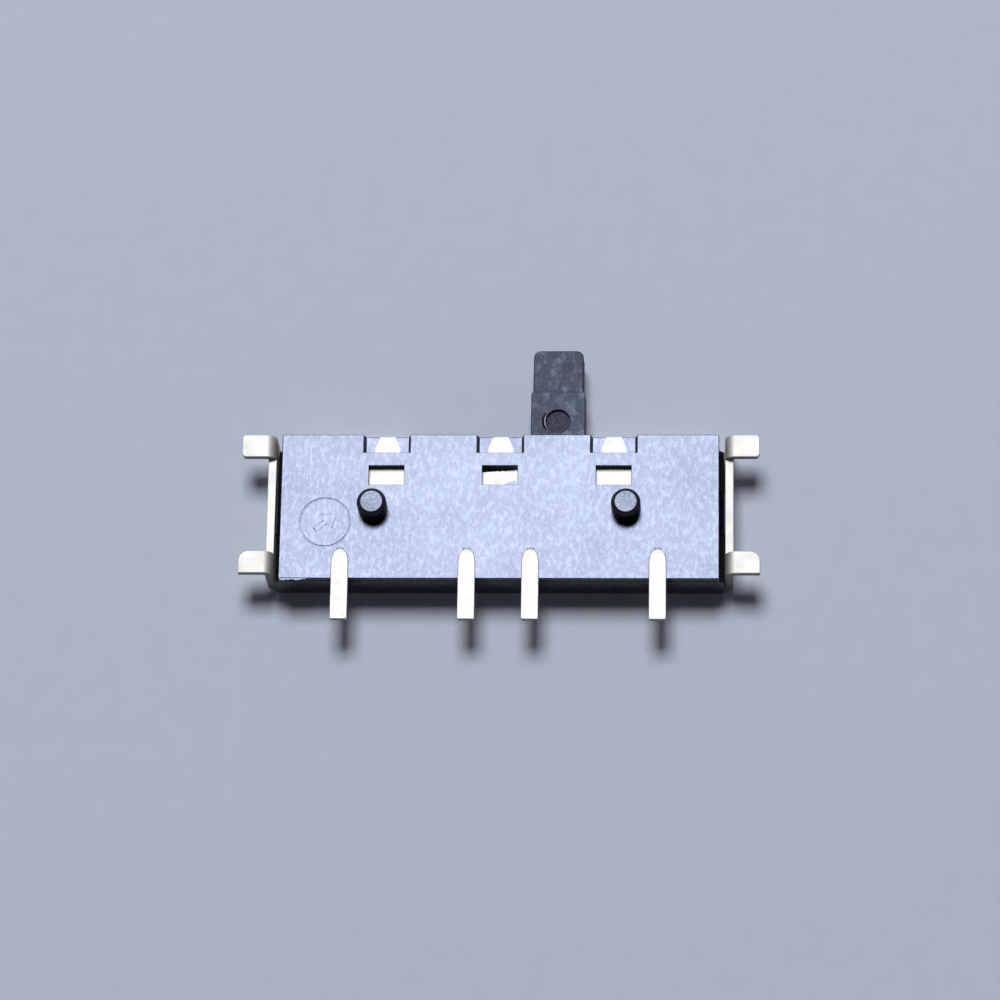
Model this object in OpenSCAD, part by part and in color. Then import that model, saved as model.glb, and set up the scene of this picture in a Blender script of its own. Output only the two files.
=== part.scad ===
// Surface-mount slide switch with a side handle: one pole, three positions.
// It lies on its metal cover with the solder side up. All sizes are in millimetres.
// Origin: on the cover's flat outer face, under the middle of the base.
// +X runs along the travel, +Y to the handle, +Z to the solder side.

/* [Terminals] */
// Spacing unit of the terminal row: leads stand 0.5 and 2.5 units either side of the middle
pitch = 1.5; // [1.4:0.05:2]
// Width of a terminal
terminal_w = 0.4; // [0.3:0.05:0.5]
// Length of a terminal beyond the base
terminal_reach = 1; // [0.6:0.05:1.5]
// Length of a terminal that lies in its groove in the underside
terminal_root = 0.7; // [0.5:0.05:0.8]
// Length of the rounded shoulders at a terminal's inner end
shoulder_l = 0.36; // [0.1:0.02:0.4]
// Width of the neck that dips from a terminal into the base
neck_w = 0.15; // [0.13:0.01:0.26]
// Radius of the corners at a terminal's outer end
terminal_corner_r = 0.04; // [0.02:0.01:0.1]
// Height of all solder faces over the base's underside
standoff = 0.03; // [0.01:0.01:0.1]

/* [Lead frame] */
// Thickness of the strip that the terminals are stamped from
lead_t = 0.15; // [0.1:0.01:0.2]
// Inner radius of the bends in the strip
lead_bend_r = 0.05; // [0.03:0.01:0.08]
// Width of the buried arms between the contact pads and the terminals
arm_w = 0.3; // [0.24:0.02:0.36]
// How far a finger runs onto a throw pad before the end of its travel
pad_run = 0.5; // [0.4:0.05:0.6]
// How far a pad reaches past a finger or a window on each side
pad_lap = 0.13; // [0.05:0.01:0.2]
// How far the common rail reaches past its finger's contact line at each end of the travel
rail_lap = 0.26; // [0.2:0.02:0.4]
// Width of a cut tie-bar stub at its sheared end
stub_w = 0.35; // [0.3:0.01:0.42]
// Extra width on each side of a stub, under the plastic
stub_flare = 0.12; // [0.03:0.01:0.14]
// Length of the straight flanks that draw a stub in to its sheared end
stub_flank_l = 0.28; // [0.16:0.02:0.28]
// Further width on each side of throw 3's stub, by a hollow foot at the notch's inner end
stub_foot = 0.11; // [0.05:0.01:0.12]

/* [Base moulding] */
// Distance from an outer terminal's middle to the base's end
end_margin = 1.45; // [1.2:0.05:2]
// Width of the base across the travel
base_w = 3.6; // [3.4:0.05:4.4]
// Thickness of the back wall
back_wall_t = 0.4; // [0.3:0.05:0.45]
// Thickness of the end walls at the underside
end_wall_t = 0.45; // [0.3:0.05:0.6]
// Height of the taper that draws the ends of the tray in to the underside's length
end_taper_h = 0.16; // [0.1:0.02:0.4]
// Thickness of the front wall, behind the cover's flaps
front_wall_t = 0.25; // [0.2:0.05:0.3]
// Thickness of the plastic over the lead frame
skin_t = 0.2; // [0.15:0.01:0.3]
// Distance between the windows and between the edge notches
window_pitch = 2.7; // [2.6:0.05:2.9]
// Length of a window along the travel
window_l = 0.84; // [0.6:0.02:0.9]
// Width of a window across the travel
window_w = 0.48; // [0.3:0.02:0.6]
// Distance from the front edge to a window's middle
window_inset = 1.02; // [0.9:0.02:1.1]
// Length of an edge notch along the travel, at its floor
notch_l = 1.0; // [0.9:0.05:1.3]
// How far each side of a notch leans out up to the underside
notch_draft = 0.06; // [0.02:0.01:0.1]
// Depth of an edge notch from the front edge
notch_w = 0.455; // [0.42:0.005:0.5]
// Radius of the round mould mark
mark_r = 0.6; // [0.4:0.05:0.65]
// Distance from the base's left end to the middle of the mould mark
mark_inset = 1.07; // [0.9:0.01:1.3]
// Distance of the mould mark's middle behind the base's middle line
mark_back = 0.41; // [0.2:0.01:0.5]
// Width of the mark's fine groove
mark_groove_w = 0.03; // [0.02:0.005:0.06]
// Depth of the mark's fine groove
mark_groove_d = 0.02; // [0.01:0.005:0.05]

/* [Locating pegs] */
// Distance between the two pegs
peg_pitch = 6; // [5.5:0.1:6.5]
// Radius of a peg
peg_r = 0.35; // [0.25:0.05:0.4]
// Height of a peg over the underside
peg_h = 0.55; // [0.4:0.05:0.8]
// Chamfer round a peg's tip
peg_chamfer = 0.08; // [0.05:0.01:0.15]
// Distance of the pegs behind the base's middle line
peg_back = 0.06; // [0:0.02:0.2]

/* [Cover] */
// Thickness of the cover's sheet
sheet_t = 0.2; // [0.15:0.01:0.25]
// Inner radius of the cover's bends
cover_bend_r = 0.05; // [0.04:0.01:0.12]
// Gap between the base's end and the cover's end wall
end_gap = 0.14; // [0.13:0.01:0.2]
// Distance that the cover's back edge stands in from the back of the base
cover_back_inset = 0.13; // [0.05:0.01:0.3]
// Distance that the end walls stand in from the front of the base
cover_front_inset = 0.02; // [0:0.01:0.1]
// Height of the solder faces over the end wall's edge between the lugs
wall_drop = 0.23; // [0.2:0.01:0.5]
// Width of a solder lug
lug_w = 0.55; // [0.4:0.05:0.7]
// Length of a lug beyond the end wall
lug_reach = 0.62; // [0.4:0.02:0.9]
// Radius of the outer corners of a front lug
lug_corner_r = 0.1; // [0.04:0.02:0.2]
// Radius of the large corner of a back lug
lug_sweep_r = 0.24; // [0.1:0.02:0.3]
// Distance of the front flaps' edge below the cavity's ceiling
flap_drop = 0.07; // [0.03:0.01:0.2]
// Radius of the flaps' corners beside the handle
flap_corner_r = 0.15; // [0.05:0.01:0.3]
// Width of the window that a snap boss stands in
snap_l = 1.1; // [0.8:0.1:1.6]
// Height of the snap window
snap_h = 0.45; // [0.3:0.05:0.5]
// Height of the snap window's lower edge over the outer face
snap_z = 0.42; // [0.4:0.02:0.5]
// How far a snap boss stands into the thickness of the cover's sheet
boss_reach = 0.12; // [0.06:0.01:0.14]
// Height of the upright face over a snap boss's ramp
boss_land = 0.15; // [0.1:0.01:0.2]

/* [Slider] */
// Travel from one position to the next
step = 1.35; // [1.2:0.05:1.5]
// Thickness of the slider over its runners
slider_t = 0.75; // [0.7:0.05:1.1]
// Width of the handle's tip
handle_w = 1.2; // [0.9:0.05:1.4]
// Thickness of the handle
handle_t = 0.65; // [0.4:0.05:0.68]
// Length of the handle beyond the base
handle_reach = 2.3; // [1.5:0.1:3]
// Length of the handle's tip, from its shoulder outwards
tip_l = 1.05; // [0.6:0.05:1.3]
// Shoulder between the handle's root and its tip, on each side
shoulder_w = 0.05; // [0.02:0.01:0.1]
// Radius of the corners of the handle's tip
tip_corner_r = 0.17; // [0.05:0.01:0.3]
// Radius of the ejector mark on the handle
ejector_r = 0.285; // [0.2:0.005:0.4]
// Depth of the ejector mark
ejector_d = 0.08; // [0.03:0.01:0.15]
// Distance from the base's front edge to the middle of the ejector mark
ejector_out = 0.49; // [0.45:0.01:0.8]
// Height of the runners that slide on the cover
runner_h = 0.05; // [0.03:0.01:0.1]
// Width of a runner
runner_w = 0.25; // [0.15:0.05:0.4]
// Radius of the slider block's corners
block_corner_r = 0.12; // [0.05:0.01:0.25]

/* [Moving contact] */
// Thickness of the spring sheet
spring_t = 0.08; // [0.05:0.01:0.1]
// Inner radius of the bends in the spring sheet
spring_bend_r = 0.12; // [0.05:0.01:0.13]
// Distance along the travel between the two fingers
finger_pitch = 1.35; // [1.25:0.05:1.45]
// Distance across the travel between the two rows of pads
row_pitch = 1.05; // [0.95:0.05:1.1]
// Distance of the throw row in front of the base's middle line
throw_row = 0.6; // [0.5:0.02:0.65]
// Width of a finger
finger_w = 0.34; // [0.2:0.02:0.36]
// Length of a finger from its root to its contact spot
finger_l = 0.68; // [0.6:0.02:0.8]
// Length of the toe that turns down past a finger's contact spot
toe_l = 0.14; // [0.1:0.01:0.16]
// Drop of that toe
toe_drop = 0.1; // [0.05:0.01:0.12]
// Distance from a finger's side to the end of the contact's plate
plate_end = 0.45; // [0.3:0.05:0.5]
// Distance from a finger's side to the long edge of the contact's plate
plate_edge = 0.06; // [0.05:0.01:0.08]
// Thickness of the slider under the contact's plate, above the runners
pocket_floor_t = 0.28; // [0.2:0.02:0.3]
// Radius of the posts that hold the contact's plate
post_r = 0.1; // [0.08:0.01:0.13]
// How far the detent bump reaches into the back wall's line
bump_reach = 0.08; // [0.04:0.01:0.1]
// Height of the detent arm's strip
detent_h = 0.28; // [0.2:0.02:0.3]
// Length of the detent arm along the travel
detent_l = 2.5; // [2.2:0.1:2.7]
// Width of the tongue that joins the detent arm to the plate
tongue_w = 0.3; // [0.2:0.05:0.4]

/* [Clearances] */
// Gap under the slider's runners
run_gap = 0.02; // [0.01:0.01:0.05]
// Gap over the slider
head_gap = 0.05; // [0.02:0.01:0.1]
// Gap before and behind the slider block
side_gap = 0.07; // [0.03:0.01:0.1]
// Gap left between the slider block and an end wall at the end of its travel
stop_gap = 0.05; // [0.02:0.01:0.1]
// Gap left beside the handle in the front opening at the end of its travel
handle_gap = 0.1; // [0.05:0.01:0.2]
// Gap between pieces that nest, such as the front wall in the cover's bend
nest_gap = 0.02; // [0.01:0.005:0.05]
// Gap between a contact finger and the pad it wipes
wipe_gap = 0.01; // [0.005:0.005:0.02]

/* [Hidden] */
$fn = 48;
bend_steps = 6;     // flats that a bend in sheet is made of
corner_steps = 6;   // flats that a rounded corner of an outline is made of
cut = 1;            // how far a cutting shape runs past the face it opens

// Heights, from the cover's outer face up
slider_z = sheet_t + run_gap;
ceiling_z = slider_z + slider_t + head_gap;
skin_z = ceiling_z + lead_t;
under_z = skin_z + skin_t;
solder_z = under_z + standoff;
block_z = slider_z + runner_h;
pocket_z = block_z + pocket_floor_t;
handle_z = (slider_z + slider_z + slider_t - handle_t) / 2 + runner_h / 2;

// Places along the travel, from the middle out
lead_xs = [-2.5 * pitch, -0.5 * pitch, 0.5 * pitch, 2.5 * pitch];
window_xs = [-window_pitch, 0, window_pitch];
base_x = 2.5 * pitch + end_margin;
cavity_x = base_x - end_wall_t;
wall_x = base_x + end_gap;
tray_x = wall_x - nest_gap;
block_l = 2 * (cavity_x - step - stop_gap);
opening_x = step + handle_w / 2 + shoulder_w + handle_gap;

// Places across the travel: "back" faces are negative, "front" faces positive
base_y = base_w / 2;
cavity_back = -base_y + back_wall_t;
front_face = base_y - sheet_t - cover_bend_r - nest_gap;
cavity_front = front_face - front_wall_t;
block_back = cavity_back + side_gap;
block_front = cavity_front - side_gap;
window_y = base_y - window_inset;
pad_y0 = throw_row - finger_w / 2 - pad_lap;
pad_y1 = max(window_y + window_w / 2, throw_row + finger_w / 2) + pad_lap;
common_row = throw_row - row_pitch;
rail_y0 = common_row - finger_w / 2 - pad_lap;
rail_y1 = common_row + finger_w / 2 + pad_lap;
root_y = -base_y + terminal_root;
cover_y0 = -base_y + cover_back_inset;
cover_y1 = base_y - cover_front_inset;

// ---- Outlines ----

function turned_left(v) = [-v[1], v[0]];

// Points of an arc, or of an ellipse's arc where r is a pair
function arc(centre, r, from, to, steps) = [
    for (i = [0:steps])
        let (a = from + (to - from) * i / steps, rr = is_list(r) ? r : [r, r])
        centre + [rr[0] * cos(a), rr[1] * sin(a)]
];

// Rectangle with its own radius at each corner: front right, front left, back left, back right
function rounded_box(x0, x1, y0, y1, r) = concat(
    arc([x1 - r[0], y1 - r[0]], r[0], 0, 90, corner_steps),
    arc([x0 + r[1], y1 - r[1]], r[1], 90, 180, corner_steps),
    arc([x0 + r[2], y0 + r[2]], r[2], 180, 270, corner_steps),
    arc([x1 - r[3], y0 + r[3]], r[3], 270, 360, corner_steps)
);

// One side of a strip bent from sheet; side is 1 to the left of the path and -1 to its right
function strip_side(path, t, r, side) = [
    for (i = [0:len(path) - 1])
        let (
            last = len(path) - 1,
            before = path[max(i, 1)] - path[max(i, 1) - 1],
            after = path[min(i + 1, last)] - path[min(i, last - 1)],
            a = before / norm(before),
            b = after / norm(after),
            turn = atan2(a[0] * b[1] - a[1] * b[0], a * b),
            s = sign(turn),
            heading = atan2(a[1], a[0])
        )
        each i == 0 || i == last
            ? [path[i] + side * t / 2 * turned_left(a)]
            : arc(path[i] - a * r * tan(abs(turn) / 2) + s * r * turned_left(a),
                  r - s * side * t / 2, heading - s * 90, heading - s * 90 + turn, bend_steps)
];

// Outline of a strip of thickness t that follows the path; inner_r is the radius inside its bends
function strip(path, t, inner_r) =
    let (
        r = inner_r + t / 2,
        right = strip_side(path, t, r, -1),
        n = len(right)
    )
    concat(strip_side(path, t, r, 1), [for (i = [1:n]) right[n - i]]);

function mirrored(points) = [for (i = [1:len(points)]) [-points[len(points) - i][0], points[len(points) - i][1]]];

// ---- Placing ----

// Outline in X and Z, extruded across the travel from y0 to y1
module across(y0, y1) {
    translate([0, y1, 0]) rotate([90, 0, 0]) linear_extrude(y1 - y0) children();
}

// Outline in Y and Z, extruded along the travel from x0 to x1
module along(x0, x1) {
    translate([x0, 0, 0]) rotate([90, 0, 90]) linear_extrude(x1 - x0) children();
}

// Outline in X and Y, extruded upwards from z0 to z1
module upright(z0, z1) {
    translate([0, 0, z0]) linear_extrude(z1 - z0) children();
}

module block(x0, x1, y0, y1, z0, z1) {
    translate([x0, y0, z0]) cube([x1 - x0, y1 - y0, z1 - z0]);
}

// ---- Lead frame, moulded into the base ----

// Flat bar of the lead frame, flush with the cavity's ceiling
module frame_bar(x0, x1, y0, y1) {
    block(x0, x1, y0, y1, ceiling_z, skin_z);
}

// Terminal: flat solder foot with rounded shoulders, then a neck that dips to the lead frame's level
module terminal(x) {
    dip = solder_z - skin_z;
    tail_y = root_y + dip + lead_t;
    half = [
        each arc([terminal_w / 2 - terminal_corner_r, -base_y - terminal_reach + terminal_corner_r],
                 terminal_corner_r, 270, 360, corner_steps),
        each arc([neck_w / 2, root_y - shoulder_l], [(terminal_w - neck_w) / 2, shoulder_l],
                 0, 90, corner_steps),
        [neck_w / 2, tail_y]
    ];
    translate([x, 0, 0]) intersection() {
        along(-terminal_w / 2, terminal_w / 2)
            polygon(strip([[-base_y - terminal_reach, solder_z - lead_t / 2],
                           [root_y, solder_z - lead_t / 2],
                           [root_y + dip, skin_z - lead_t / 2],
                           [tail_y, skin_z - lead_t / 2]], lead_t, lead_bend_r));
        upright(ceiling_z - cut, solder_z + cut) polygon(concat(half, mirrored(half)));
    }
}

// Arm at the lead frame's level, from a terminal's neck forward to y1
module frame_arm(x, y1) {
    frame_bar(x - arm_w / 2, x + arm_w / 2, root_y + solder_z - skin_z, y1);
}

// Cut tie bar: wide under the plastic, with a hollow foot where one is given, drawn in to its sheared end
module tie_bar_stub(x, foot = 0) {
    notch_y = base_y - notch_w;
    flank_x = stub_w / 2 + stub_flare;
    half = [
        [flank_x + foot, pad_y1 - pad_lap],
        if (foot > 0) each arc([flank_x + foot, notch_y + foot], [foot, foot], 270, 180, corner_steps),
        [flank_x, base_y - stub_flank_l],
        [stub_w / 2, base_y]
    ];
    translate([x, 0, 0]) upright(ceiling_z, skin_z) polygon(concat(half, mirrored(half)));
}

// Throw pad at either end of the row, with its arm round the outside
module end_throw(side, foot = 0) {
    lead_x = 2.5 * pitch;
    mirror([side > 0 ? 0 : 1, 0, 0]) {
        frame_bar(step - pad_run, lead_x + arm_w / 2, pad_y0, pad_y1);
        frame_arm(lead_x, pad_y1);
        terminal(lead_x);
        tie_bar_stub(window_pitch, foot);
    }
}

module terminal_throw_1() {
    color([0.93, 0.92, 0.88]) end_throw(-1);
}

module terminal_throw_3() {
    color([0.93, 0.92, 0.88]) end_throw(1, stub_foot);
}

// Middle throw: its arm steps sideways between the rows to reach its own terminal
module terminal_throw_2() {
    pad_x = window_l / 2 + pad_lap / 2;
    color([0.93, 0.92, 0.88]) {
        frame_bar(-pad_x, pad_x, pad_y0, pad_y1);
        frame_bar(pad_x - arm_w, lead_xs[2] + arm_w / 2, pad_y0 - arm_w, pad_y0);
        frame_arm(lead_xs[2], pad_y0);
        terminal(lead_xs[2]);
        tie_bar_stub(0);
    }
}

// Common rail under the whole travel of the common finger
module terminal_common() {
    rail_x0 = -step - finger_pitch - rail_lap;
    rail_x1 = step - finger_pitch + rail_lap;
    color([0.93, 0.92, 0.88]) {
        frame_bar(rail_x0, rail_x1, rail_y0, rail_y1);
        frame_arm(lead_xs[1], rail_y1);
        terminal(lead_xs[1]);
    }
}

// ---- Base ----

module locating_peg(x) {
    translate([x, -peg_back, under_z - skin_t / 2])
        cylinder(r = peg_r, h = peg_h - peg_chamfer + skin_t / 2);
    translate([x, -peg_back, under_z + peg_h - peg_chamfer])
        cylinder(r1 = peg_r, r2 = peg_r - peg_chamfer, h = peg_chamfer);
}

// Wedge on an end face: it ramps up from below and latches under the top edge of the cover's window
module snap_boss() {
    boss_l = snap_l - 2 * nest_gap;
    foot_z = snap_z + nest_gap;
    top_z = snap_z + snap_h - nest_gap;
    across(-boss_l / 2, boss_l / 2)
        polygon([[base_x - nest_gap, foot_z], [tray_x, foot_z], [wall_x + boss_reach, top_z - boss_land],
                 [wall_x + boss_reach, top_z], [base_x - nest_gap, top_z]]);
}

// Tray of walls: its ends stand between the cover's walls, drawn in at the top, with a chamfer in the bend
module tray() {
    foot = cover_bend_r + nest_gap;
    half = [[tray_x - foot, sheet_t], [tray_x, sheet_t + foot], [tray_x, ceiling_z - end_taper_h],
            [base_x, ceiling_z], [base_x, under_z]];
    across(-base_y, front_face) polygon(concat(half, mirrored(half)));
}

// Round scallop that the detent bump drops into
module detent_scallop(x) {
    scallop_r = spring_bend_r + spring_t + 2 * nest_gap;
    translate([x, cavity_back - bump_reach - nest_gap + scallop_r, sheet_t - cut])
        cylinder(r = scallop_r, h = ceiling_z - sheet_t + cut);
}

// Notch at the front edge over a tie bar's stub, its sides leaning out
module tie_bar_notch(x) {
    lean = notch_draft / skin_t;
    half = [[notch_l / 2, skin_z], [notch_l / 2 + (skin_t + cut) * lean, under_z + cut]];
    translate([x, 0, 0]) across(base_y - notch_w, base_y + cut) polygon(concat(half, mirrored(half)));
}

module mould_mark() {
    translate([-base_x + mark_inset, -mark_back, under_z - mark_groove_d]) difference() {
        cylinder(r = mark_r + mark_groove_w / 2, h = cut);
        translate([0, 0, -cut]) cylinder(r = mark_r - mark_groove_w / 2, h = 3 * cut);
    }
}

module base() {
    color([0.13, 0.13, 0.15]) difference() {
        union() {
            // floor with its front overhang, over the tray
            block(-base_x, base_x, -base_y, base_y, ceiling_z, under_z);
            tray();
            for (x = [-peg_pitch / 2, peg_pitch / 2]) locating_peg(x);
            for (side = [0, 1]) mirror([side, 0, 0]) snap_boss();
        }
        // cavity of the slider, and the opening of the handle
        block(-cavity_x, cavity_x, cavity_back, cavity_front, sheet_t - cut, ceiling_z);
        block(-opening_x, opening_x, 0, base_y + cut, sheet_t - cut, ceiling_z);
        for (x = [-step, 0, step]) detent_scallop(x);
        for (x = window_xs) {
            block(x - window_l / 2, x + window_l / 2, window_y - window_w / 2, window_y + window_w / 2,
                  skin_z, under_z + cut);
            tie_bar_notch(x);
        }
        mould_mark();
        terminal_common();
        terminal_throw_1();
        terminal_throw_2();
        terminal_throw_3();
    }
}

// ---- Cover ----

// Solder lug at the right end: the wall's strip turns outwards; r is the pair of its outer corners
module lug(y0, r) {
    mid_x = wall_x + sheet_t / 2;
    tip_x = wall_x + sheet_t + lug_reach;
    intersection() {
        across(y0, y0 + lug_w)
            polygon(strip([[mid_x, snap_z], [mid_x, solder_z - sheet_t / 2], [tip_x, solder_z - sheet_t / 2]],
                          sheet_t, cover_bend_r));
        upright(0, solder_z + cut)
            polygon(rounded_box(base_x, tip_x, y0, y0 + lug_w, [r[0], nest_gap, nest_gap, r[1]]));
    }
}

// Front flap at the right: the plate's edge turned up in front of the base
module front_flap() {
    mid_y = base_y - sheet_t / 2;
    flap_x0 = opening_x + nest_gap;
    flap_x1 = base_x - nest_gap;
    flap_z = ceiling_z - flap_drop;
    intersection() {
        along(flap_x0, flap_x1)
            polygon(strip([[0, sheet_t / 2], [mid_y, sheet_t / 2], [mid_y, flap_z]], sheet_t, cover_bend_r));
        across(0, base_y + cut)
            polygon(rounded_box(flap_x0, flap_x1, 0, flap_z, [flap_corner_r, flap_corner_r, nest_gap, nest_gap]));
    }
}

module cover() {
    mid_x = wall_x + sheet_t / 2;
    edge_z = solder_z - wall_drop;
    plate_front = front_face;
    color([0.86, 0.86, 0.84]) difference() {
        union() {
            across(cover_y0, cover_y1)
                polygon(strip([[-mid_x, edge_z], [-mid_x, sheet_t / 2], [mid_x, sheet_t / 2], [mid_x, edge_z]],
                              sheet_t, cover_bend_r));
            for (side = [0, 1]) mirror([side, 0, 0]) {
                lug(cover_y1 - lug_w, [lug_corner_r, lug_corner_r]);
                lug(cover_y0, [lug_sweep_r, nest_gap]);
            }
        }
        block(-base_x, base_x, plate_front, base_y + cut, -cut, sheet_t + cut);
        for (side = [0, 1]) mirror([side, 0, 0])
            block(base_x, wall_x + sheet_t + cut, -snap_l / 2, snap_l / 2, snap_z, snap_z + snap_h);
    }
    color([0.86, 0.86, 0.84]) for (side = [0, 1]) mirror([side, 0, 0]) front_flap();
}

// ---- Slider and its contact: both are drawn about the handle's middle line ----

// Contact plate's outline along the travel, and the places of its two posts
plate_x0 = -finger_pitch - finger_w / 2 - plate_end;
plate_x1 = finger_w / 2 + plate_end;
plate_back = common_row - finger_w / 2 - plate_edge;
plate_front_y = throw_row + finger_w / 2 + plate_edge;
posts = [[-finger_pitch, throw_row], [0, common_row]];
arm_y = block_back + spring_t / 2 + bump_reach + nest_gap;
arm_x = detent_l / 2;

module handle() {
    root_x = handle_w / 2 + shoulder_w;
    tip_y = base_y + handle_reach;
    shoulder_y = tip_y - tip_l;
    inset = shoulder_w / 2;
    root = [[root_x, block_front - cut / 2], [root_x, shoulder_y - shoulder_w], [handle_w / 2, shoulder_y]];
    tip = [
        [handle_w / 2, shoulder_y - shoulder_w],
        each arc([handle_w / 2 - tip_corner_r, tip_y - tip_corner_r], tip_corner_r, 0, 90, corner_steps)
    ];
    difference() {
        union() {
            upright(handle_z, handle_z + handle_t) polygon(concat(root, mirrored(root)));
            upright(handle_z + inset, handle_z + handle_t - inset) polygon(concat(tip, mirrored(tip)));
        }
        translate([0, base_y + ejector_out, handle_z + handle_t - ejector_d])
            cylinder(r = ejector_r, h = cut);
    }
}

module slider_at_middle() {
    block_top = slider_z + slider_t;
    arm_room = arm_y + spring_t / 2 + bump_reach + nest_gap;
    difference() {
        union() {
            upright(block_z, block_top)
                polygon(rounded_box(-block_l / 2, block_l / 2, block_back, block_front,
                                    [for (i = [0:3]) block_corner_r]));
            for (y = [block_back + block_corner_r, block_front - block_corner_r - runner_w])
                block(-block_l / 2 + block_corner_r, block_l / 2 - block_corner_r, y, y + runner_w,
                      slider_z, block_z + nest_gap);
            handle();
        }
        // pocket of the contact's plate, slot of the detent arm and the gap that joins them
        block(plate_x0 - nest_gap, plate_x1 + nest_gap, plate_back - nest_gap, plate_front_y + nest_gap,
              pocket_z, block_top + cut);
        block(-arm_x - nest_gap, arm_x + nest_gap, block_back - cut, arm_room, pocket_z, block_top + cut);
        block(-arm_x - nest_gap, -arm_x + tongue_w + nest_gap, block_back - cut, 0, pocket_z, block_top + cut);
    }
    // posts that stand through the contact's plate and as high again over it
    for (p = posts) translate([p[0], p[1], pocket_z - nest_gap])
        cylinder(r = post_r, h = 2 * spring_t + nest_gap);
}

module slider() {
    color([0.2, 0.2, 0.22]) translate([step, 0, 0]) slider_at_middle();
}

// Finger lanced from the plate, with its flat contact spot at x = 0; dir is the way that it points
module finger(dir) {
    low_z = pocket_z + spring_t / 2;
    high_z = ceiling_z - wipe_gap - spring_t / 2;
    spot = finger_w / 2;
    mirror([dir > 0 ? 0 : 1, 0, 0]) across(-finger_w / 2, finger_w / 2)
        polygon(strip([[-finger_l - spot, low_z], [-finger_l, low_z], [-spot / 2, high_z], [spot / 2, high_z],
                       [spot / 2 + toe_l, high_z - toe_drop]], spring_t, spring_t / 2));
}

// Opening that a finger was lanced from
module lance(dir) {
    mirror([dir > 0 ? 0 : 1, 0, 0])
        block(-finger_l, finger_w, -finger_w / 2 - nest_gap * 2, finger_w / 2 + nest_gap * 2,
              pocket_z - cut, pocket_z + cut);
}

// Upright strip that springs outwards, with a rounded V as its detent bump
module detent_arm() {
    r = spring_bend_r + spring_t / 2;
    apex_y = cavity_back - bump_reach - r * (sqrt(2) - 1) + spring_t / 2;
    rise = arm_y - apex_y;
    arm_z = pocket_z + spring_t / 2;
    upright(arm_z, arm_z + detent_h)
        polygon(strip([[-arm_x, arm_y], [-rise, arm_y], [0, apex_y], [rise, arm_y], [arm_x, arm_y]],
                      spring_t, spring_bend_r));
}

module moving_contact() {
    color([0.88, 0.74, 0.42]) translate([step, 0, 0]) {
        difference() {
            union() {
                block(plate_x0, plate_x1, plate_back, plate_front_y, pocket_z, pocket_z + spring_t);
                block(-arm_x, -arm_x + tongue_w, arm_y - spring_t / 2, 0, pocket_z, pocket_z + spring_t);
            }
            translate([0, throw_row, 0]) lance(1);
            translate([-finger_pitch, common_row, 0]) lance(-1);
            for (p = posts) translate([p[0], p[1], pocket_z - cut])
                cylinder(r = post_r + nest_gap, h = 2 * cut);
        }
        translate([0, throw_row, 0]) finger(1);
        translate([-finger_pitch, common_row, 0]) finger(-1);
        detent_arm();
    }
}

base();
cover();
slider();
moving_contact();
terminal_common();
terminal_throw_1();
terminal_throw_2();
terminal_throw_3();
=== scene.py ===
import math
import random

import bmesh
import bpy
from mathutils import Matrix, Vector


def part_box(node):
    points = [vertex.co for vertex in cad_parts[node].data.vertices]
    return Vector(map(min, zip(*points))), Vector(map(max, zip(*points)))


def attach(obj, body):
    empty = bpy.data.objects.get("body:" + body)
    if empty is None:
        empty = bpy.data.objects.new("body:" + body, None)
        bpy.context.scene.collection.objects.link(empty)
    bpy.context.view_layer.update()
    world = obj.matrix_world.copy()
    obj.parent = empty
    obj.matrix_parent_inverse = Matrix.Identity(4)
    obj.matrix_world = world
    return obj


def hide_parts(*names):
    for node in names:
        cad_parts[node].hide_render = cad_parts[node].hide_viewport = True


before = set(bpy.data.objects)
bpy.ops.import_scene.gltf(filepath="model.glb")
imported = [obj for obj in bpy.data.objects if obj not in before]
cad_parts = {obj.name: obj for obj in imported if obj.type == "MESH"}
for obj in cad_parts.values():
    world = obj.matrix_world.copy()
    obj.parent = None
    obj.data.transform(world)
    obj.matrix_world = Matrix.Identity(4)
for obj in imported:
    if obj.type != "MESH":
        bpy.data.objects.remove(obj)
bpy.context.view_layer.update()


# ---- Camera ----
# A macro lens straight over the switch, leaning back over the terminals and turned a little to the
# right. It stands 100 mm off, so near and far edges keep almost the same scale.
MM = 0.001
aim_height = 1.0 * MM
aim_shift = 0.263 * MM                  # from the switch's middle towards the handle
camera_azimuth, camera_elevation, camera_roll = 8.64, 71.0, -8.14       # degrees
camera_distance = 100 * MM
view_width = 23.75 * MM                 # what the lens takes in at the aimed height
sensor_width = 36.0                     # a full-frame sensor, in the camera's own millimetres

turn = (Matrix.Rotation(math.radians(camera_azimuth), 3, "Z")
        @ Matrix.Rotation(math.radians(90 - camera_elevation), 3, "X")
        @ Matrix.Rotation(math.radians(camera_roll), 3, "Z"))
aim = Vector((0, 0, aim_height)) + turn @ Vector((0, aim_shift, 0))
camera = bpy.data.objects.new("macro_camera", bpy.data.cameras.new("macro_camera"))
camera.data.sensor_width = sensor_width
camera.data.lens = sensor_width * camera_distance / view_width
camera.data.clip_start = 1 * MM
camera.data.clip_end = 5.0
stand = aim + turn @ Vector((0, 0, camera_distance))
camera.matrix_world = Matrix.Translation(stand) @ turn.to_4x4()
bpy.context.scene.collection.objects.link(camera)
bpy.context.scene.camera = camera


# ---- Floor and light ----
# A flat sheet of pale uncoated paper, lit by one soft box that stands high over the handle's side.
# The surround is bright low down, which fills the shaded sides, and dim overhead, which leaves the
# sheen of level faces to the box.
def colour(hex_value):
    """Linear RGBA of an sRGB hex colour."""
    parts = [int(hex_value[i:i + 2], 16) / 255 for i in (1, 3, 5)]
    return [p / 12.92 if p <= 0.04045 else ((p + 0.055) / 1.055) ** 2.4 for p in parts] + [1.0]


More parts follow.
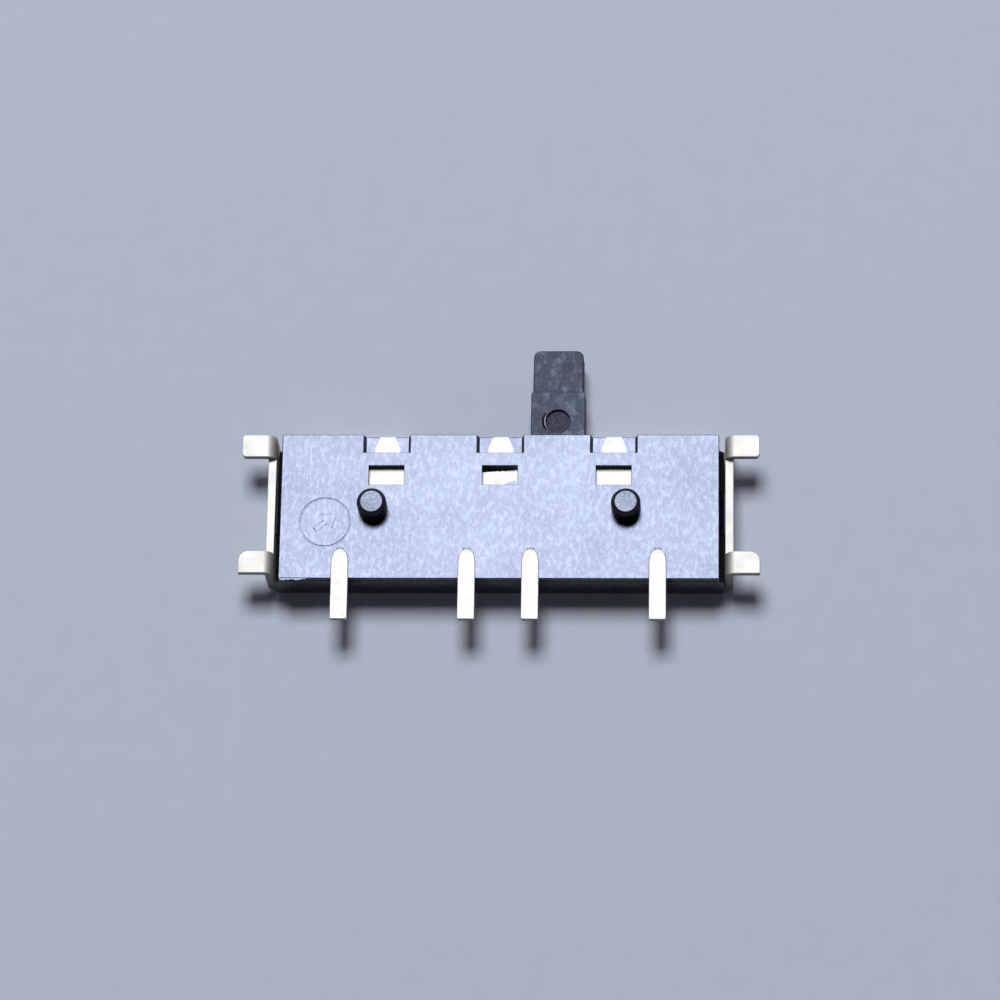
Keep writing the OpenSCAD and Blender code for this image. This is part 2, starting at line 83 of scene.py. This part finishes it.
def add(tree, kind, inputs=None, **settings):
    """One node: settings are its properties; inputs its sockets, each a value or an output."""
    made = tree.nodes.new("ShaderNode" + kind)
    for name, value in settings.items():
        setattr(made, name, value)
    for name, value in (inputs or {}).items():
        if isinstance(value, bpy.types.NodeSocket):
            tree.links.new(value, made.inputs[name])
        else:
            made.inputs[name].default_value = value
    return made


def new_material(name):
    """An empty material, its node tree and its output node."""
    material = bpy.data.materials.new(name)
    material.use_nodes = True
    material.node_tree.nodes.clear()
    return material, material.node_tree, add(material.node_tree, "OutputMaterial")


# Uncoated paper: it scatters evenly, with a cloud of fibres that hardly shows.
fibre_size = 0.5 * MM
paper, tree, out = new_material("matt_paper")
fibre = add(tree, "TexNoise", {"Scale": 1 / fibre_size, "Detail": 3.0})
tone = add(tree, "Mix", {"Factor": fibre.outputs["Fac"],
                         "A": colour("#b2b7c5"), "B": colour("#b8bdca")}, data_type="RGBA")
sheet = add(tree, "BsdfPrincipled", {"Base Color": tone.outputs["Result"], "Roughness": 0.9})
tree.links.new(sheet.outputs["BSDF"], out.inputs["Surface"])

floor_half = 0.6
floor_corners = [(-floor_half, -floor_half, 0), (floor_half, -floor_half, 0),
                 (floor_half, floor_half, 0), (-floor_half, floor_half, 0)]
floor_mesh = bpy.data.meshes.new("floor")
floor_mesh.from_pydata(floor_corners, [], [(0, 1, 2, 3)])
floor_mesh.materials.append(paper)
floor = bpy.data.objects.new("floor", floor_mesh)
bpy.context.scene.collection.objects.link(floor)

key_direction = Vector((-0.05, 0.33, 0.943)).normalized()
key_distance, key_side = 0.30, 0.10     # metres
key_power = 0.86                        # watts
key_data = bpy.data.lights.new("soft_box", "AREA")
key_data.shape = "SQUARE"
key_data.size = key_side
key_data.energy = key_power
key_data.color = (0.93, 0.96, 1.0)      # a shade cooler than white
key = bpy.data.objects.new("soft_box", key_data)
key.location = key_direction * key_distance
key.rotation_mode = "QUATERNION"
key.rotation_quaternion = key_direction.to_track_quat("Z", "Y")
bpy.context.scene.collection.objects.link(key)

low_glow, high_glow = 0.42, 0.04        # the surround's strength at the horizon and overhead
fade_end = 0.6                          # sine of the height where it has faded
surround = bpy.data.worlds.new("surround")
surround.use_nodes = True
tree = surround.node_tree
up = add(tree, "SeparateXYZ", {"Vector": add(tree, "TexCoord").outputs["Generated"]}).outputs["Z"]
fade = add(tree, "MapRange", {"Value": up, "From Max": fade_end,
                              "To Min": low_glow, "To Max": high_glow})
tree.nodes["Background"].inputs["Color"].default_value = colour("#e6e9f2")
tree.links.new(fade.outputs["Result"], tree.nodes["Background"].inputs["Strength"])
bpy.context.scene.world = surround
bpy.context.scene.view_settings.view_transform = "Standard"


# ---- Base ----
# One black moulding of high-temperature nylon, shot round the lead frame in a steel tool. It has
# windows, notches where the tie bars were cut, two locating pegs and a round cavity mark, and the
# cover's walls snap over a boss at each of its ends.
base_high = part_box("base")[1]
under_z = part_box("terminal_common")[1].z - 0.03 * MM    # the solder faces stand proud of it
skin_z = under_z - 0.20 * MM                            # floor of the windows and notches
base_end = 5.2 * MM                                     # half its length without the bosses
mark_at = Vector((-4.13 * MM, -0.41 * MM, under_z))
mark_reach, mark_side = 0.7 * MM, -3.6 * MM             # the mark's own edges lie within these
window_xs = (0, -2.7 * MM, 2.7 * MM)
peg_xs = (-3.0 * MM, 3.0 * MM)
lead_xs = (-3.75 * MM, -0.75 * MM, 0.75 * MM, 3.75 * MM)
hair = 0.001 * MM                                       # tolerance of a comparison


def finished_form(node, name, cuts, rounding):
    """The CAD node's own form with its outer edges rounded as the tool or die left them.

    cuts are planes (axis, place) that part its flat faces between their openings, so that each
    stays a plain polygon. rounding gives the width for an edge from its middle, or 0 where it
    stays sharp."""
    flush, sharp_from = math.radians(1), math.radians(35)
    widest = 0.05 * MM
    work = bmesh.new()
    work.from_mesh(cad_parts[node].data)
    bmesh.ops.remove_doubles(work, verts=work.verts, dist=hair)
    for axis, place in cuts:
        normal = Vector([float(i == axis) for i in range(3)])
        bmesh.ops.bisect_plane(work, geom=work.verts[:] + work.edges[:] + work.faces[:], dist=hair,
                               plane_co=normal * place, plane_no=normal)
    loose = [e for e in work.edges
             if not any(all(abs(v.co[axis] - place) < hair for v in e.verts)
                        for axis, place in cuts)]
    bmesh.ops.dissolve_limit(work, angle_limit=flush, verts=work.verts, edges=loose)
    weight = work.edges.layers.float.new("bevel_weight_edge")
    for edge in work.edges:
        sharp = len(edge.link_faces) == 2 and edge.calc_face_angle() > sharp_from
        outer = sharp and edge.is_convex
        width = rounding((edge.verts[0].co + edge.verts[1].co) / 2) if outer else 0
        edge[weight] = width / widest
    mesh = bpy.data.meshes.new(name)
    work.to_mesh(mesh)
    work.free()
    piece = bpy.data.objects.new(name, mesh)
    bpy.context.scene.collection.objects.link(piece)
    bevel = piece.modifiers.new("rounded_edges", "BEVEL")
    bevel.width = widest
    bevel.segments = 2
    bevel.limit_method = "WEIGHT"
    bevel.use_clamp_overlap = False
    rounded = piece.evaluated_get(bpy.context.evaluated_depsgraph_get())
    piece.data = bpy.data.meshes.new_from_object(rounded)
    piece.modifiers.clear()
    shade(piece.data)
    return piece


def shade(mesh):
    """Flat faces stay flat and bends run smooth: a corner's normal is weighted by the faces that
    are nearly flush with its own, which stands in alone where none of them has an area."""
    crease = math.cos(math.radians(40))
    trace = 1e-9
    around = {}
    for face in mesh.polygons:
        for v in face.vertices:
            around.setdefault(v, []).append((face.normal.copy(), (face.area / MM ** 2) ** 2))
    normals = []
    for face in mesh.polygons:
        own = face.normal.copy()
        for v in face.vertices:
            near = [normal * weight for normal, weight in around[v] if normal.dot(own) > crease]
            normals.append(sum(near, own * trace).normalized())
    mesh.polygons.foreach_set("use_smooth", [True] * len(mesh.polygons))
    mesh.normals_split_custom_set(normals)


def dress(piece, node, body, material):
    """Gives the piece its material and lets it stand for its CAD node."""
    piece.data.materials.clear()
    piece.data.materials.append(material)
    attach(piece, body)
    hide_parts(node)


def refinish(piece, material, chosen):
    """A finish of its own for the faces that chosen picks by their middle and their normal."""
    piece.data.materials.append(material)
    for face in piece.data.polygons:
        if chosen(face.center, face.normal):
            face.material_index = len(piece.data.materials) - 1


def base_rounding(p):
    """The tool's corners: finest round the mark and the openings, softer along the outer edges."""
    fine, peg_tip, outer = 0.01 * MM, 0.02 * MM, 0.022 * MM
    if (p - mark_at).length < mark_reach and p.x < mark_side:
        return fine
    if p.z > under_z + hair:
        return peg_tip
    if abs(p.x) > base_end - hair or abs(p.y) > base_high.y - hair:
        return outer
    return fine if p.z > skin_z + hair else 0


noise_span = {"From Min": 0.3, "From Max": 0.7}         # nearly all of a noise pattern's values


def moulded_nylon(name, shades, fleck, gloss, spread, ior):
    """Black glass-filled nylon: fleck is the size in mm of the marks its flow leaves, gloss their
    roughness, and spread how far a fine grain and a soft cloud push that roughness either way."""
    # The grain is drawn coarser than the skin's own, which is about 0.02 mm, so that it shows.
    grain_size, cloud_size = 0.055 * MM, 1.3 * MM
    calm, bright = 0.46, 0.7                            # the flecks stand out between these values
    fleck_depth, grain_depth = 0.006 * MM, 0.003 * MM
    material, tree, out = new_material(name)
    place = add(tree, "TexCoord").outputs["Object"]
    flow = add(tree, "Mapping", {"Vector": place, "Scale": [1 / (size * MM) for size in fleck]})
    flecks = add(tree, "TexNoise", {"Vector": flow.outputs["Vector"], "Scale": 1.0,
                                    "Detail": 3.0, "Roughness": 0.6})
    grain = add(tree, "TexNoise", {"Vector": place, "Scale": 1 / grain_size, "Detail": 2.0})
    cloud = add(tree, "TexNoise", {"Vector": place, "Scale": 1 / cloud_size, "Detail": 2.0})
    mix = add(tree, "MapRange", {"Value": flecks.outputs["Fac"], "From Min": calm,
                                 "From Max": bright, "To Min": gloss[1], "To Max": gloss[0]})
    for pattern in (grain, cloud):
        push = add(tree, "MapRange", {"Value": pattern.outputs["Fac"], **noise_span,
                                      "To Min": -spread, "To Max": spread})
        mix = add(tree, "Math", {0: mix.outputs[0], 1: push.outputs["Result"]}, operation="ADD")
    tint = add(tree, "Mix", {"Factor": flecks.outputs["Fac"],
                             "A": colour(shades[0]), "B": colour(shades[1])}, data_type="RGBA")
    skin = add(tree, "Bump", {"Height": flecks.outputs["Fac"], "Strength": 0.35,
                              "Distance": fleck_depth})
    skin = add(tree, "Bump", {"Height": grain.outputs["Fac"], "Strength": 0.2,
                              "Distance": grain_depth, "Normal": skin.outputs["Normal"]})
    # The specular tint is painted light: the cool box's blue cast, put into the nylon's sheen.
    plastic = add(tree, "BsdfPrincipled", {"Base Color": tint.outputs["Result"],
                                           "Roughness": mix.outputs["Value"], "IOR": ior,
                                           "Specular Tint": colour("#d4ddfb"),
                                           "Normal": skin.outputs["Normal"]})
    tree.links.new(plastic.outputs["BSDF"], out.inputs["Surface"])
    return material


# Moulded against a fine tool: black, with a satin sheen that flow flecks and soft clouds break up.
nylon = moulded_nylon("moulded_black_nylon", ("#0e0f12", "#191a1f"), fleck=(0.095, 0.18, 0.14),
                      gloss=(0.204, 0.268), spread=0.014, ior=1.58)
# Against the spark-eroded ends of the peg holes: a grainier skin, so the tips shine less.
nylon_tip = moulded_nylon("spark_eroded_nylon", ("#0e0f12", "#191a1f"), fleck=(0.07, 0.07, 0.07),
                          gloss=(0.285, 0.345), spread=0.03, ior=1.58)
# On the snap bosses, over which the cover's walls were forced: rubbed dull.
nylon_rubbed = moulded_nylon("rubbed_nylon", ("#15161c", "#22232b"), fleck=(0.08, 0.08, 0.08),
                             gloss=(0.48, 0.6), spread=0.03, ior=1.5)
# Painted light on the notches' sloping sides: a mid grey for the box's sheen that misses them.
nylon_notch_painted_light = moulded_nylon("notch_side_painted_light", ("#42444e", "#565864"), fleck=(0.06, 0.06, 0.06),
                              gloss=(0.45, 0.6), spread=0.03, ior=1.5)

# The cuts run through the middles of the windows, pegs, mark and terminals.
base_cuts = [(0, x) for x in (*window_xs, *peg_xs, mark_at.x, *lead_xs)] + [(1, 0)]
base_piece = finished_form("base", "base_moulding", base_cuts, base_rounding)
dress(base_piece, "base", "housing", nylon)
tip_from = base_high.z - 0.1 * MM
boss_from = base_end + 0.1 * MM
notch_from, notch_end = base_high.y - 0.5 * MM, 3.6 * MM    # the three notches lie within these
not_under, sideways, sloping = -0.2, 0.8, 0.1               # least parts of a face's normal
refinish(base_piece, nylon_tip, lambda p, n: p.z > tip_from)
refinish(base_piece, nylon_rubbed, lambda p, n: abs(p.x) > boss_from and n.z > not_under)
# The notches' sloping sides take the painted light, a grey lighter than the nylon's own.
refinish(base_piece, nylon_notch_painted_light, lambda p, n: p.y > notch_from and p.z > skin_z
         and abs(p.x) < notch_end and abs(n.x) > sideways and n.z > sloping)


def solid(name, vertices, faces):
    """A small closed piece in one object."""
    work = bmesh.new()
    made = [work.verts.new(v) for v in vertices]
    for face in faces:
        work.faces.new([made[i] for i in face])
    bmesh.ops.recalc_face_normals(work, faces=work.faces)
    mesh = bpy.data.meshes.new(name)
    work.to_mesh(mesh)
    work.free()
    piece = bpy.data.objects.new(name, mesh)
    bpy.context.scene.collection.objects.link(piece)
    shade(mesh)
    return piece


def add_on(piece, body, material):
    """A small piece beside the CAD nodes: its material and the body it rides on."""
    piece.data.materials.append(material)
    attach(piece, body)


def plan(points):
    """An outline given in mm, in metres."""
    return [(x * MM, y * MM) for x, y in points]


def slab(outline, low, high, inset=0.0):
    """Vertices and faces of a flat piece over an outline, its top drawn in by inset."""
    n = len(outline)
    middle = sum((Vector(p) for p in outline), Vector((0, 0))) / n
    top = [Vector(p) - (Vector(p) - middle).normalized() * inset for p in outline]
    vertices = [(x, y, low) for x, y in outline] + [(p.x, p.y, high) for p in top]
    sides = [(i, (i + 1) % n, n + (i + 1) % n, n + i) for i in range(n)]
    return vertices, [tuple(reversed(range(n))), tuple(range(n, 2 * n))] + sides


def ringed(rings):
    """Vertices and faces of a piece drawn through rings of points and closed at both ends."""
    n, last = len(rings[0]), len(rings) - 1
    sides = [(i * n + j, i * n + (j + 1) % n, (i + 1) * n + (j + 1) % n, (i + 1) * n + j)
             for i in range(last) for j in range(n)]
    ends = [tuple(range(n)), tuple(last * n + j for j in reversed(range(n)))]
    return [point for ring in rings for point in ring], sides + ends


# A plain arrow, cut in the tool, stands up faintly inside the round mark.
arrow = [(-0.32, -0.07), (0.04, -0.07), (0.04, -0.24), (0.36, 0.0), (0.04, 0.24), (0.04, 0.07),
         (-0.32, 0.07)]
arrow_turn = Matrix.Rotation(math.radians(38), 2)
arrow_outline = [tuple(mark_at.xy + arrow_turn @ Vector(p) * MM) for p in arrow]
arrow_foot, arrow_crest, arrow_draft = under_z - 0.003 * MM, under_z + 0.008 * MM, 0.035 * MM
add_on(solid("mark_arrow", *slab(arrow_outline, arrow_foot, arrow_crest, arrow_draft)),
       "housing", nylon)

# Flash in the middle window: plastic crept under the tool's core, in a ragged lip and a thin smear.
window_half, window_front = 0.42 * MM, 1.02 * MM
root_y, root_z = window_front + 0.01 * MM, skin_z - 0.01 * MM       # sunk in its wall and floor
lip_reach, lip_taper, lip_ragged = 0.11, 0.06, 0.012                # mm
crest_share = 0.4                                                   # of the reach
lip_edge, lip_crest, lip_top = skin_z + 0.004 * MM, skin_z + 0.05 * MM, skin_z + 0.14 * MM
lip_steps = 26
draw = random.Random(7)
lip_rings = []
for i in range(lip_steps + 1):
    t = i / lip_steps
    reach = (lip_reach - lip_taper * t + draw.uniform(-lip_ragged, lip_ragged)) * MM
    x = (2 * t - 1) * window_half
    lip_rings.append([(x, root_y, root_z),
                      (x, window_front - reach, root_z),
                      (x, window_front - reach, lip_edge),
                      (x, window_front - crest_share * reach, lip_crest),
                      (x, root_y, lip_top)])
add_on(solid("window_flash_lip", *ringed(lip_rings)), "housing", nylon)

smear = plan([(0.04, 0.54), (0.41, 0.54), (0.41, 0.66), (0.35, 0.72), (0.29, 0.67), (0.22, 0.70),
              (0.15, 0.63), (0.09, 0.62)])
smear_crest, smear_draft = skin_z + 0.008 * MM, 0.006 * MM
add_on(solid("window_flash_smear", *slab(smear, root_z, smear_crest, smear_draft)),
       "housing", nylon)

# A ragged fin of flash also stands off the back edge, at the end nearest the mark.
fin = plan([(-5.18, -1.79), (-5.17, -1.822), (-5.09, -1.845), (-5.02, -1.828), (-4.96, -1.834),
            (-4.9, -1.818), (-4.83, -1.822), (-4.78, -1.84), (-4.7, -1.832), (-4.63, -1.815),
            (-4.56, -1.812), (-4.5, -1.79)])
fin_low, fin_high, fin_draft = under_z - 0.035 * MM, under_z - 0.015 * MM, 0.004 * MM
add_on(solid("corner_flash", *slab(fin, fin_low, fin_high, fin_draft)),
       "housing", nylon)

# The halves of the tool met at the lead frame's level: a low witness line runs along the back wall.
witness = plan([(-5.15, -1.79), (5.15, -1.79), (5.15, -1.808), (-5.15, -1.808)])
witness_half = 0.01 * MM
add_on(solid("back_witness_line", *slab(witness, skin_z - witness_half, skin_z + witness_half)),
       "housing", nylon)


# ---- Cover ----
# One strip of thin sheet steel, tin plated, then stamped and bent up into end walls, front flaps
# and solder lugs. It closes the base's open side: its end walls snap over the base's bosses.
def tin_plate(name, shades, lay, gloss, bloom_size):
    """Tin over a stamping: lay is the size in mm of its fine lines, gloss its roughness and
    bloom_size the size in mm of its clouds."""
    line_depth = 0.002 * MM
    material, tree, out = new_material(name)
    place = add(tree, "TexCoord").outputs["Object"]
    rolled = add(tree, "Mapping", {"Vector": place, "Scale": [1 / (size * MM) for size in lay]})
    lines = add(tree, "TexNoise", {"Vector": rolled.outputs["Vector"], "Scale": 1.0,
                                   "Detail": 3.0})
    bloom = add(tree, "TexNoise", {"Vector": place, "Scale": 1 / (bloom_size * MM),
                                   "Detail": 4.0})
    plating = add(tree, "MapRange", {"Value": bloom.outputs["Fac"], **noise_span,
                                     "To Min": gloss[0], "To Max": gloss[1]})
    tone = add(tree, "Mix", {"Factor": bloom.outputs["Fac"],
                             "A": colour(shades[0]), "B": colour(shades[1])}, data_type="RGBA")
    relief = add(tree, "Bump", {"Height": lines.outputs["Fac"], "Strength": 0.25,
                                "Distance": line_depth})
    metal = add(tree, "BsdfPrincipled", {"Base Color": tone.outputs["Result"], "Metallic": 1.0,
                                         "Roughness": plating.outputs["Result"],
                                         "Normal": relief.outputs["Normal"]})
    tree.links.new(metal.outputs["BSDF"], out.inputs["Surface"])
    return material


# Matt tin over the rolled strip: pale and soft, with fine lines along the strip.
# The lines are drawn 0.03 mm apart, coarser than real ones, so that they show.
tin = tin_plate("tin_plated_sheet", ("#cfcdc7", "#dddbd6"), lay=(0.9, 0.03, 0.03),
                gloss=(0.63, 0.7), bloom_size=0.4)
# The punch's cut: half burnished, half torn, so it is duller and greyer, with lines through the
# thickness. They are drawn 0.04 mm apart, coarser than real ones, so that they show.
cut_tin = tin_plate("sheared_sheet_edge", ("#76746f", "#9a9892"), lay=(0.04, 0.04, 0.3),
                    gloss=(0.5, 0.68), bloom_size=0.12)

cover_low, cover_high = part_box("cover")
die_radius = 0.025 * MM
lug_edges = (cover_low.y + 0.55 * MM, 1.23 * MM)        # the lugs' sides that face each other
cover_cuts = [(1, y) for y in (0, *lug_edges)]
cover_piece = finished_form("cover", "cover_sheet", cover_cuts, lambda p: die_radius)
dress(cover_piece, "cover", "housing", tin)

plate_top, wall_face = 0.25 * MM, 5.3 * MM              # walls and lugs stand past these
lug_tip = cover_high.x - 0.05 * MM
facing = 0.9                                            # how squarely a cut face looks its way
refinish(cover_piece, cut_tin, lambda p, n: abs(n.y) > facing
         and (p.y < 0 or p.z > plate_top and abs(p.x) > wall_face)
         or abs(n.x) > facing and abs(p.x) > lug_tip)


# ---- Slider and handle ----
# A second moulding in the same nylon, drier and duller. It lies between the cover and the base,
# slides along on two runners, and its handle stands out at the front with a shoulder and the
# round mark of an ejector pin.
slider_low, slider_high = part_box("slider")
handle_x = (slider_low.x + slider_high.x) / 2
handle_top, handle_mid = 0.945 * MM, 0.62 * MM
pocket_from = slider_low.z + 0.3 * MM                   # the pocket's hidden edges start here


def slider_rounding(p):
    """The handle's edges are rounder than the block's, and the pocket's stay sharp."""
    handle, block = 0.03 * MM, 0.015 * MM
    if p.y > base_high.y:
        return handle
    return 0 if pocket_from < p.z < slider_high.z - hair else block


# The same nylon off a coarser tool: its rougher skin spreads the sheen to an even dark grey.
nylon_dry = moulded_nylon("moulded_dull_nylon", ("#151620", "#1f202c"), fleck=(0.18, 0.28, 0.2),
                          gloss=(0.42, 0.545), spread=0.028, ior=1.55)
# Where the ejector pin pushed: a flat ground face, duller still.
nylon_pushed = moulded_nylon("ejector_mark_nylon", ("#11121c", "#191a26"),
                             fleck=(0.08, 0.08, 0.08), gloss=(0.54, 0.64), spread=0.04, ior=1.55)
slider_piece = finished_form("slider", "slider_moulding", [(0, handle_x), (0, 0)], slider_rounding)
dress(slider_piece, "slider", "actuator", nylon_dry)

pin_at = Vector((handle_x, 2.29 * MM))                  # middle of the ejector pin's mark
pin_r = 0.285 * MM
pin_face = handle_top - 0.04 * MM                       # the mark's floor lies under this
upwards = 0.5                                           # least part of its normal
refinish(slider_piece, nylon_pushed, lambda p, n: (p.xy - pin_at).length < pin_r
         and p.z < pin_face and n.z > upwards)

# The pin left a low crescent burr beside its mark: a flat crest that falls away on its outer side.
burr_r, burr_w, burr_h = 0.347 * MM, 0.095 * MM, 0.024 * MM
burr_from, burr_to, burr_steps = math.radians(144), math.radians(218), 18
# Its section, foot to foot: parts of its width outwards, parts of its height upwards.
burr_section = ((-0.5, -0.3), (-0.5, 0.0), (-0.4, 0.8), (-0.06, 0.8), (0.5, 0.0), (0.5, -0.3))
burr_rings = []
for i in range(burr_steps + 1):
    t = i / burr_steps
    angle = burr_from + (burr_to - burr_from) * t
    full = math.sin(math.pi * (0.06 + 0.88 * t)) ** 0.5     # it thins out towards its ends
    ring = []
    for side, lift in burr_section:
        out_from_pin = burr_r + side * full * burr_w
        spot = pin_at + Vector((math.cos(angle), math.sin(angle))) * out_from_pin
        ring.append((spot.x, spot.y, handle_top + (lift * full if lift > 0 else lift) * burr_h))
    burr_rings.append(ring)
add_on(solid("pin_burr", *ringed(burr_rings)), "actuator", nylon)

# The tool parted halfway up the handle: a low witness line runs along both of its sides.
# It breaks at the shoulder, where the handle steps in between its root and its tip.
# Each row is half the handle's width and where the line starts and ends, in mm.
line_rows = ((0.65, 1.86, 2.98, "root"), (0.6, 3.06, 3.9, "tip"))
line_sunk, line_out, line_half = -0.01, 0.012, 0.012 * MM
for side, label in ((-1, "left"), (1, "right")):
    for half, y0, y1, part in line_rows:
        inner, outer = [handle_x + side * (half + reach) * MM for reach in (line_sunk, line_out)]
        line = [(inner, y0 * MM), (outer, y0 * MM), (outer, y1 * MM), (inner, y1 * MM)]
        form = slab(line, handle_mid - line_half, handle_mid + line_half)
        add_on(solid("handle_witness_%s_%s" % (part, label), *form),
               "actuator", nylon_dry)


# ---- Moving contact ----
# Spring bronze, stamped and formed from one thin strip, with two fingers and a detent arm.
# It sits on the slider's two posts and bridges the common rail and one throw's pad.
contact_radius = 0.008 * MM

# Bare rolled bronze: warm and fairly bright, with soft cloudy wear.
wear_size = 0.2 * MM
bronze, tree, out = new_material("spring_bronze")
place = add(tree, "TexCoord").outputs["Object"]
wear = add(tree, "TexNoise", {"Vector": place, "Scale": 1 / wear_size, "Detail": 3.0})
tone = add(tree, "Mix", {"Factor": wear.outputs["Fac"],
                         "A": colour("#c79a58"), "B": colour("#dab77a")}, data_type="RGBA")
shine = add(tree, "MapRange", {"Value": wear.outputs["Fac"], **noise_span,
                               "To Min": 0.25, "To Max": 0.38})
metal = add(tree, "BsdfPrincipled", {"Base Color": tone.outputs["Result"], "Metallic": 1.0,
                                     "Roughness": shine.outputs["Result"]})
tree.links.new(metal.outputs["BSDF"], out.inputs["Surface"])
dress(finished_form("moving_contact", "contact_spring_piece", [(0, handle_x), (0, 0)],
                    lambda p: contact_radius), "moving_contact", "actuator", bronze)


# ---- Terminals ----
# Four stampings of one lead frame, tin plated before the base was moulded round them. Each lies
# open along the underside and past the back edge; inside it ends in a contact pad, and each
# throw's tie bar is cut off in an edge notch.
open_before, open_above = -1.0 * MM, skin_z - 0.1 * MM
back_tips, tie_bar_ends = -2.7 * MM, 1.7 * MM


def terminal_rounding(p):
    """Softened by the die and the plating in the open; sharp where the plastic holds it."""
    return 0.015 * MM if p.y < open_before and p.z > open_above else 0


# Matt tin over the lead frame: pale, with a finer bloom than the sheet's. Its lines, too, are drawn
# coarser than real ones, 0.04 mm apart, so that they show.
solder_tin = tin_plate("tin_plated_lead", ("#d3d1cc", "#e0deda"), lay=(0.04, 0.5, 0.04),
                       gloss=(0.63, 0.69), bloom_size=0.2)
for node in ("terminal_common", "terminal_throw_1", "terminal_throw_2", "terminal_throw_3"):
    lead = finished_form(node, node + "_strip", [], terminal_rounding)
    dress(lead, node, "housing", solder_tin)
    refinish(lead, cut_tin, lambda p, n: abs(n.y) > facing
             and (p.y < back_tips or p.y > tie_bar_ends))
